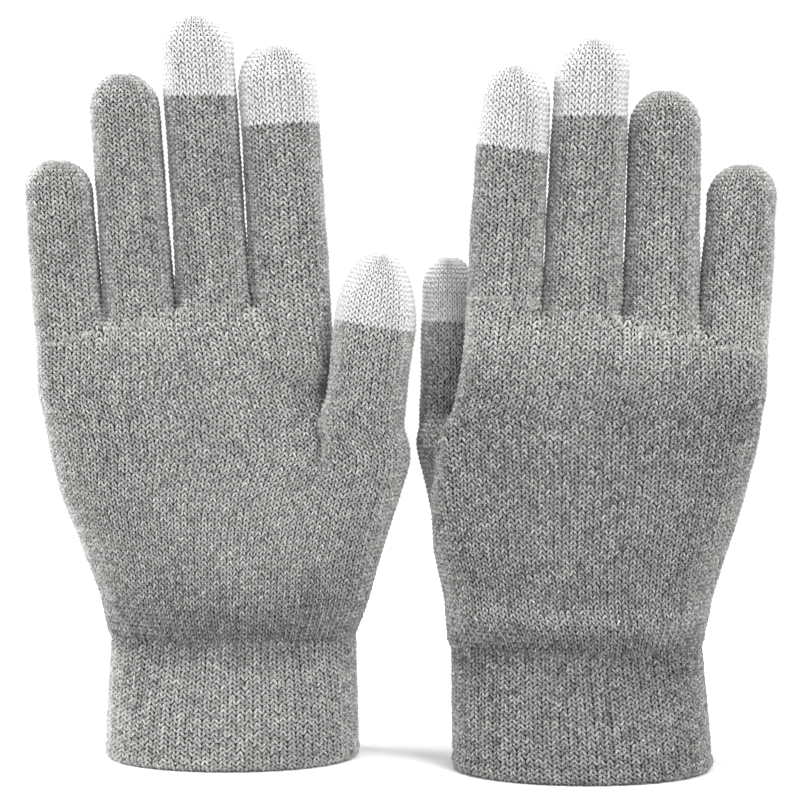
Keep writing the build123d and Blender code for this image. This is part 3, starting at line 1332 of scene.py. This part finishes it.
    def cuff_tube(self) -> Tube:
        """Lays the cuff: pairs of wales between grooves, turned in at the edge it stands on.

        Returns:
            Its grid.
        """
        plan, roll = self.plan, CUFF.roll
        shares = np.arange(2 * CUFF.pairs) / (2 * CUFF.pairs)
        sink = np.tile([CUFF.groove, 0.0], CUFF.pairs)
        courses = round((CUFF.top - CUFF.bottom) / CUFF.course)
        dense = np.linspace(0, 2 * math.pi, 1441)
        step = np.hypot(np.diff(36.3 * np.cos(dense)), np.diff(22.4 * np.sin(dense)))
        arc = np.concatenate([[0], np.cumsum(step)])
        angle = math.pi + np.interp(shares * arc[-1], arc, dense)
        rows = []
        for path in np.linspace(CUFF.bottom, CUFF.top, courses + 1):
            turn = min(max((roll - path) / roll, 0.0), 2.3)
            z = path if turn == 0 else roll - roll * 0.92 * math.sin(min(turn, math.pi / 2))
            if turn > math.pi / 2:
                z = roll * 0.08 + (turn - math.pi / 2) * roll * 0.8
            inward = roll * (1 - math.cos(turn)) if turn > 0 else 0.0
            above = path / MM
            band = CUFF.band * (1 - float(smooth((above - 3.6) / 1.4)))
            band -= CUFF.band * math.exp(-(((above - 4.6) / 0.7) ** 2))
            facing = 0.06 + 0.94 * np.abs(np.sin(angle)) ** 1.5
            fading = math.exp(-(((path - CUFF.top) / (15.0 * MM)) ** 2))
            top = -0.8 * plan.wrist_fold[0] * MM * fading * facing
            taper = CUFF.taper * z / WRIST_Z
            offset = band + top - inward - taper - sink
            drift = plan.cuff_drift * MM * (1 - z / WRIST_Z)
            ring = [
                plan.cuff_x * MM + drift + (CUFF.half_width + offset) * np.cos(angle),
                (CUFF.half_depth + offset) * np.sin(angle),
                np.full(len(angle), z),
            ]
            rows.append(np.stack(ring, axis=1))
        return Tube(rows)

    def make(self) -> None:
        """Knits the whole glove."""
        plan = self.plan
        whole, hand_only = Form(plan, True), Form(plan, False)
        lower, upper = self.knit_hand(whole, hand_only)
        self.hand_pieces(self.soften(lower), self.soften(upper))
        for digit in plan.digits:
            self.digit_pieces(digit, hand_only)
        self.cuff_pieces()
        self.elastic_threads()
        whole.remove()
        hand_only.remove()

    def painted_tone(self, places: np.ndarray, top: float | None = None) -> np.ndarray:
        """Works out how light the yarn is painted: painted shade in the wrist's fold, over the lower hand and
        at pale tips' tops, painted light below the webs.

        Args:
            places: Points of the fabric.
            top: Height of a pale tip's end, in millimetres, for its own yarn, which gets painted shade
                towards that end.

        Returns:
            How much lighter the yarn's colour is painted at each place.
        """
        height = places[..., 2] / MM
        if top is not None:
            # Painted shade: pale tips darker over their last 8 mm, where the lamps light them most.
            return -8.0 * smooth((height - top + 8.0) / 8.0)
        painted_hand_shade = self.plan.painted_hand_shade
        # Painted shade: the hand and cuff darker below the knuckles.
        painted_tone = -painted_hand_shade * smooth((128 - height) / 32)
        # Painted shade in the wrist's fold: narrow at its bottom, broad above it.
        painted_tone -= 1.3 * np.exp(-(((height - 37) / 4.5) ** 2))
        painted_tone -= self.plan.shaded * np.exp(-(((height - 46) / 13) ** 2))
        # Painted light: a lighter band just below the webs.
        painted_tone += 1.1 * np.exp(-(((height - 124) / 9) ** 2))
        # Painted highlight on the swell above the wrist's fold, scaled by the hand's painted shade.
        return painted_tone + 0.4 * painted_hand_shade * np.exp(-(((height - 46) / 3.5) ** 2))

    def add_cells(
        self,
        parts: MeshParts,
        tube: Tube,
        keep: np.ndarray,
        behind: np.ndarray | None = None,
        gauge: Gauge = Gauge(),
        top: float | None = None,
    ) -> None:
        """Adds stitches, and the backing behind them.

        Args:
            parts: The piece that gets them.
            tube: The grid they stand on.
            keep: Which cells have a stitch, as [course, wale].
            behind: Which cells have a backing, if not the same.
            gauge: The stitches' shape.
            top: Height of a pale tip's end, in millimetres.
        """
        painted_tone = self.painted_tone(tube.centres()[keep], top)
        self.knitter.stitches(parts, tube, np.argwhere(keep), gauge, painted_tone)
        self.knitter.lining(parts, tube, keep if behind is None else behind)

    def hand_pieces(self, lower: Tube, upper: Tube) -> None:
        """Knits the wrist and the rest of the hand.

        Args:
            lower: The grid below the thumb's junction.
            upper: The grid above it.
        """
        split = int(np.argmin(np.abs(lower.nodes[:, 0, 2] - WRIST_TOP_Z)))
        half = lower.wales // 2
        v, u = np.indices((lower.courses, lower.wales))
        parts = MeshParts()
        self.add_cells(parts, lower, v < split)
        fold = ((0, 0, WRIST_Z - 2 * MM), (0, 0, WRIST_Z + 17 * MM))
        self.finish_piece(parts, "wrist_knit", Yarn.GREY, ("cuff", "hand"), fold, ("hand",))
        for name, where in (("front_knit", u < half), ("back_knit", u >= half)):
            parts = MeshParts()
            self.add_cells(parts, lower, (v >= split) & where)
            self.finish_piece(parts, name, Yarn.GREY, ("hand",))
        centres = upper.centres()
        parts = MeshParts()
        self.add_cells(parts, upper, centres[..., 2] <= self.webs_at(centres) + 0.35 * MM)
        self.finish_piece(parts, "knuckle_knit", Yarn.GREY, ("hand",))

    def webs_at(self, points: np.ndarray) -> np.ndarray:
        """Finds the height of the web line at each point."""
        return np.vectorize(self.web)(points[..., 0])

    def digit_cells(self, digit: Digit, centres: np.ndarray) -> tuple[np.ndarray, np.ndarray]:
        """Picks the cells of a digit that the hand's own knit doesn't cover.

        Args:
            digit: The finger or thumb.
            centres: The centres of its cells, as [course, wale, xyz].

        Returns:
            Which cells have a stitch, and which have a backing.
        """
        courses, wales = centres.shape[:2]
        if digit.name == "thumb":
            column = np.arange(wales)
            away = np.minimum(column, wales - 1 - column)
            apart = away < wales // 2 - digit.joined if self.plan.palm < 0 else away >= digit.joined
            keep = (np.arange(courses) >= UNDERLAP)[:, None] | apart
            return keep, keep
        order = sorted(d.root[0] for d in self.plan.digits[:4])
        lean = np.cos((np.arange(wales) + 0.5) / wales * 2 * math.pi)
        facing = (lean > 0.72) & (digit.root[0] != order[0])
        facing |= (lean < -0.72) & (digit.root[0] != order[3])
        over = centres[..., 2] - self.webs_at(centres)
        return over > -np.where(facing, 2.6 * MM, 0.35 * MM), over > -np.where(facing, 4 * MM, 0.0)

    def digit_pieces(self, digit: Digit, form: Form) -> None:
        """Knits the lower and upper halves of a digit, and its pale tip.

        Args:
            digit: The finger or thumb.
            form: The hand's body without its thumb.
        """
        name = digit.name
        bottom = self.plan.junction_z * MM
        crotch = 0.0
        if name == "thumb":
            tube = digit_tube(digit, bottom - UNDERLAP * COURSE, COURSE)
        else:
            webs = [self.web((digit.root[0] + s * digit.root_radius) * MM) for s in (-1, 1)]
            crotch = max(webs) + 0.4 * MM
            rows = math.floor((min(webs) - bottom) / COURSE) - UNDERLAP
            tube = digit_tube(digit, bottom + rows * COURSE, COURSE, form, sum(webs) / 2)
        tube = self.soften(tube)
        centres = tube.centres()
        keep, behind = self.digit_cells(digit, centres)
        rows = np.arange(tube.courses)[:, None]
        level = centres[..., 2].mean(1)
        middle = np.searchsorted(level, (digit.root_fold + digit.middle_fold) / 2 * MM)
        pale = np.searchsorted(level, digit.conductive * MM) if digit.conductive else tube.courses

        def fold(z: float, above: float = 0.0) -> tuple:
            """Finds where a bend round height z starts, above a height, and where it ends."""
            return ((0, 0, max((z - BEND) * MM, above)), (0, 0, (z + BEND) * MM))

        root, end = f"{name}_root", f"{name}_end"
        upper = (rows >= middle) & (rows < pale)
        pieces = [
            ("lower", rows < middle, Yarn.GREY, ("hand", root), fold(digit.root_fold, crotch)),
            ("upper", upper, Yarn.GREY, (root, end), fold(digit.middle_fold)),
            ("tip", rows >= pale, Yarn.CONDUCTIVE, (end,), None),
        ]
        for place, where, yarn, bodies, bend in pieces:
            if not (keep & where).any():
                continue
            parts = MeshParts()
            if yarn is Yarn.CONDUCTIVE:
                start = float(tube.nodes[pale, :, 2].mean())
                wales, course = PALE_THUMB_GAUGE if name == "thumb" else PALE_GAUGE
                knit = self.soften(digit_tube(replace(digit, wales=wales), start, course * MM))
                everywhere = np.ones((knit.courses, knit.wales), bool)
                self.add_cells(parts, knit, everywhere, top=digit.tip[2])
            else:
                self.add_cells(parts, tube, keep & where, behind & where)
                under = (centres[..., 2] > self.webs_at(centres) - 1.5 * MM) & ~keep & where
                if place == "lower" and name != "thumb":
                    self.knitter.stitches(parts, tube, np.argwhere(under), Gauge(fall=-0.45 * MM))
            self.finish_piece(parts, f"{name}_{place}_knit", yarn, bodies, bend, (f"{name}_{place}",))

    def cuff_pieces(self) -> None:
        """Knits the cuff."""
        tube = self.cuff_tube()
        parts = MeshParts()
        self.add_cells(parts, tube, np.ones((tube.courses, tube.wales), bool), gauge=Gauge(width=0.19))
        self.finish_piece(parts, "cuff_knit", Yarn.GREY, ("cuff",), None, ("cuff", "cuff_edge"))

    def elastic_threads(self) -> None:
        """Lays the elastic threads inside the cuff."""
        side, plan = self.plan.side, self.plan
        rings = []
        for count in range(CUFF.thread_count):
            z = (CUFF.thread_start + count * CUFF.thread_gap) * MM
            bpy.ops.object.select_all(action="DESELECT")
            bpy.ops.mesh.primitive_torus_add(
                location=(plan.cuff_x * MM + SHIFT_X, plan.y * MM, z),
                major_segments=96,
                minor_segments=6,
                major_radius=1.0,
                minor_radius=0.35 * MM,
            )
            ring = bpy.context.active_object
            sunk = plan.wrist_fold[0] * math.exp(-(((z / MM - 36.3) / 15.0) ** 2))
            ring.scale = (CUFF.thread_half_width * MM, (CUFF.thread_half_depth - sunk) * MM, 1)
            bpy.ops.object.transform_apply(location=True, rotation=False, scale=True)
            rings.append(ring)
        select_only(rings[0])
        for ring in rings[1:]:
            ring.select_set(True)
        bpy.ops.object.join()
        threads = bpy.context.view_layer.objects.active
        threads.name = f"{side}_elastic_threads"
        threads.data.materials.append(self.looks[Yarn.ELASTIC][0])
        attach(threads, f"{side}_cuff")
        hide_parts(f"{side}_cuff_elastic")
        self.made.append(threads)


def studio() -> None:
    """Sets up the floor, the soft lights and the camera."""
    scene = bpy.context.scene
    bpy.ops.mesh.primitive_circle_add(vertices=96, radius=0.6, fill_type="NGON", location=(0, 0, 0))
    floor = bpy.context.active_object
    floor.name = "floor"
    look = Finish("floor")
    look.feed("Base Color", (0.92, 0.92, 0.92, 1))
    look.feed("Roughness", 0.9)
    floor.data.materials.append(look.material)
    world = bpy.data.worlds.new("studio")
    world.use_nodes = True
    tree = world.node_tree
    background = tree.nodes["Background"]
    path = tree.nodes.new("ShaderNodeLightPath")
    level = tree.nodes.new("ShaderNodeMapRange")
    level.inputs["To Min"].default_value = 0.32
    level.inputs["To Max"].default_value = 1.05
    tree.links.new(path.outputs["Is Camera Ray"], level.inputs["Value"])
    tree.links.new(level.outputs["Result"], background.inputs["Strength"])
    background.inputs["Color"].default_value = (1, 1, 1, 1)
    scene.world = world
    for name, place, size, power in (
        ("key", (0.65, -0.95, 1.05), 0.45, 13.0),
        ("left rim", (-1.25, 0.45, 0.75), 0.4, 23.0),
        ("right rim", (1.10, 0.80, 0.50), 0.5, 6.0),
        ("side", (-1.15, -0.42, 0.40), 0.3, 6.0),
        ("top", (0.0, -0.25, 1.4), 0.6, 16.0),
    ):
        lamp = bpy.data.lights.new(name, "AREA")
        lamp.energy, lamp.size = power, size
        obj = bpy.data.objects.new(name, lamp)
        obj.location = place
        aim = Vector((0, 0, 0.1)) - Vector(place)
        obj.rotation_euler = aim.to_track_quat("-Z", "Y").to_euler()
        scene.collection.objects.link(obj)
    camera = bpy.data.cameras.new("camera")
    camera.lens, camera.sensor_width = 102.0, 36.0
    camera.clip_start = 0.01
    eye = bpy.data.objects.new("camera", camera)
    eye.location = (SHIFT_X, -0.642, 0.150)
    aim = Vector((SHIFT_X, 0.008, 0.1035)) - eye.location
    eye.rotation_euler = aim.to_track_quat("-Z", "Y").to_euler()
    scene.collection.objects.link(eye)
    scene.camera = eye
    scene.view_settings.view_transform = "Standard"


def main() -> None:
    """Builds both gloves and the studio, and notes the sizes."""
    logging.basicConfig(level=logging.INFO)
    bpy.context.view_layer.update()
    knitter = Knitter(YarnLeg())
    looks = {
        Yarn.GREY: (GREY_YARN.material("grey yarn"), GREY_GAP_SHADE.material("grey gap shade")),
        Yarn.CONDUCTIVE: (PALE_YARN.material("pale yarn"), PALE_GAP_SHADE.material("pale gap shade")),
        Yarn.ELASTIC: (ELASTIC.material("elastic"),),
    }
    for plan in (LEFT, RIGHT):
        glove = Glove(plan, knitter, looks)
        glove.make()
        for piece in glove.made:
            log.info("%s: %d faces", piece.name, len(piece.data.polygons))
    studio()


if __name__ == "__main__":
    main()
